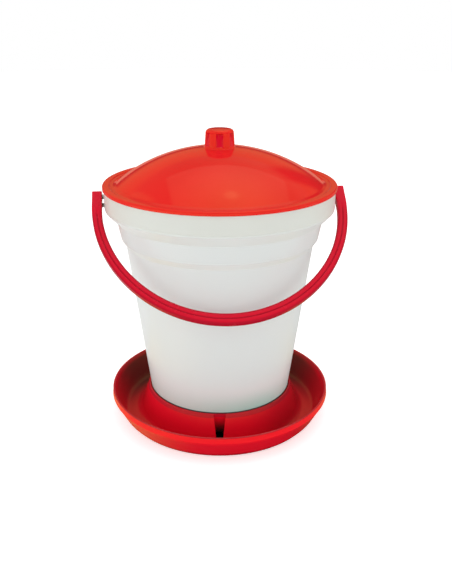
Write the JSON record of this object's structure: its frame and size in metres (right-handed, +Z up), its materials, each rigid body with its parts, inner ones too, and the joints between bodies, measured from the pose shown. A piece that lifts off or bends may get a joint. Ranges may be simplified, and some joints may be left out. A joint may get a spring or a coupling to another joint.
{
  "type": "poultry drinker",
  "caption": "Bucket drinker for poultry: tapered bucket with a domed knobbed lid and a swinging bail, standing in a round tray with a water slot.",
  "frame": {"origin": "on the ground, at the centre of the tray's underside", "axes": "+Z up along the bucket's axis, X along the bail's hinge, -Y towards the side where the bail rests and the water slot opens"},
  "size_m": [0.3264, 0.3064, 0.3936],
  "materials": {
    "tray": "semi-gloss moulded plastic, crimson",
    "bucket": "semi-gloss moulded plastic, white",
    "lid": "gloss moulded plastic, red",
    "bail": "semi-gloss moulded plastic, crimson",
    "seal": "black rubber",
    "valve": "grey moulded plastic",
    "spring": "bright spring steel"
  },
  "bodies": {
    "tray_and_bucket": {"drinking_tray": "tray", "bucket": "bucket", "valve_body": "valve", "valve_nut": "valve", "valve_washer": "seal", "valve_stem": "valve", "valve_seal": "seal", "valve_spring": "spring", "valve_clip": "spring"},
    "lid": {"lid": "lid", "lid_seal": "seal"},
    "bail": {"handle": "bail"}
  },
  "joints": [
    {"name": "bail_hinge", "type": "hinge", "parent": "tray_and_bucket", "child": "bail", "pos_m": [0, 0, 0.3098], "axis": [-1, 0, 0], "range_deg": [0, 258]},
    {"name": "lid_lift", "type": "slide", "parent": "tray_and_bucket", "child": "lid", "axis": [0, 0, 1], "range_m": [0, 0.05]}
  ]
}
